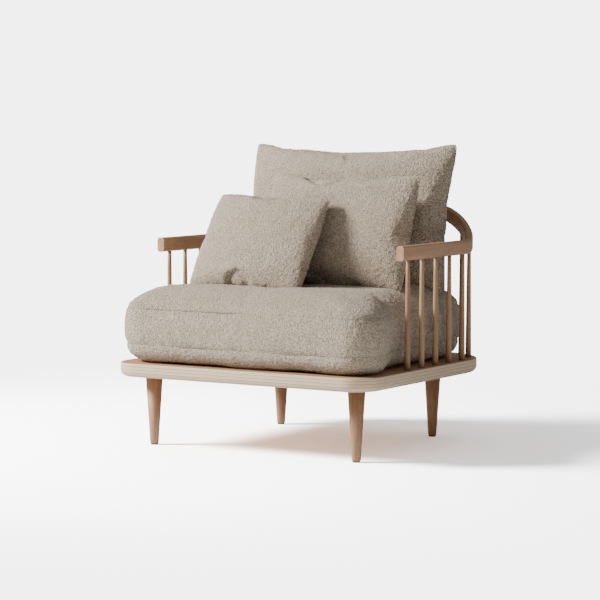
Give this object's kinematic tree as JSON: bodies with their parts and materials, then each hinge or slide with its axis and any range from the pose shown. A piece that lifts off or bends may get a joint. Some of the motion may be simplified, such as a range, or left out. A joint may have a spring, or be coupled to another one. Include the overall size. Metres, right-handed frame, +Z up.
{
  "type": "lounge chair",
  "caption": "Low lounge armchair: plywood deck on turned oak legs, bent oak rail on slim spindles, boucle seat and back cushions with loose pillows.",
  "frame": {"origin": "on the floor under the middle of the chair", "axes": "-Y is the way the chair faces, +Z is up, +X is towards the right arm as seen from the front"},
  "size_m": [0.746, 0.698, 0.7512],
  "materials": {
    "oiled_oak": "matte oiled",
    "birch_plywood": "matte lacquered, oak veneer on top and pale edge",
    "glide_plastic": "matte",
    "zinc_steel": "zinc plated",
    "boucle_cover": "looped boucle weave",
    "cushion_filling": "foam with fibre wrap"
  },
  "bodies": {
    "frame": {"seat_deck": "birch_plywood", "arm_rail": "oiled_oak", "spindle_left_01": "oiled_oak", "spindle_right_01": "oiled_oak", "spindle_left_02": "oiled_oak", "spindle_right_02": "oiled_oak", "spindle_left_03": "oiled_oak", "spindle_right_03": "oiled_oak", "spindle_left_04": "oiled_oak", "spindle_right_04": "oiled_oak", "spindle_left_05": "oiled_oak", "spindle_right_05": "oiled_oak", "spindle_left_06": "oiled_oak", "spindle_right_06": "oiled_oak", "spindle_left_07": "oiled_oak", "spindle_right_07": "oiled_oak", "spindle_left_08": "oiled_oak", "spindle_right_08": "oiled_oak", "spindle_left_09": "oiled_oak", "spindle_right_09": "oiled_oak", "spindle_left_10": "oiled_oak", "spindle_right_10": "oiled_oak", "spindle_middle": "oiled_oak", "leg_front_left": "oiled_oak", "leg_front_right": "oiled_oak", "leg_rear_left": "oiled_oak", "leg_rear_right": "oiled_oak", "glide_front_left": "glide_plastic", "glide_front_right": "glide_plastic", "glide_rear_left": "glide_plastic", "glide_rear_right": "glide_plastic", "hanger_bolts": "zinc_steel", "threaded_inserts": "zinc_steel"},
    "seat_cushion": {"seat_cushion_cover": "boucle_cover", "seat_cushion_core": "cushion_filling"},
    "back_cushion": {"back_cushion_cover": "boucle_cover", "back_cushion_core": "cushion_filling"},
    "large_pillow": {"large_pillow_cover": "boucle_cover", "large_pillow_core": "cushion_filling"},
    "small_pillow": {"small_pillow_cover": "boucle_cover", "small_pillow_core": "cushion_filling"}
  },
  "joints": [
    {"name": "seat_cushion_lift", "type": "slide", "parent": "frame", "child": "seat_cushion", "axis": [0, 0, 1], "range_m": [0, 0.3]},
    {"name": "back_cushion_lift", "type": "slide", "parent": "seat_cushion", "child": "back_cushion", "axis": [0, 0, 1], "range_m": [0, 0.3]},
    {"name": "large_pillow_lift", "type": "slide", "parent": "back_cushion", "child": "large_pillow", "axis": [0, 0, 1], "range_m": [0, 0.3]},
    {"name": "small_pillow_lift", "type": "slide", "parent": "large_pillow", "child": "small_pillow", "axis": [0, 0, 1], "range_m": [0, 0.3]}
  ]
}
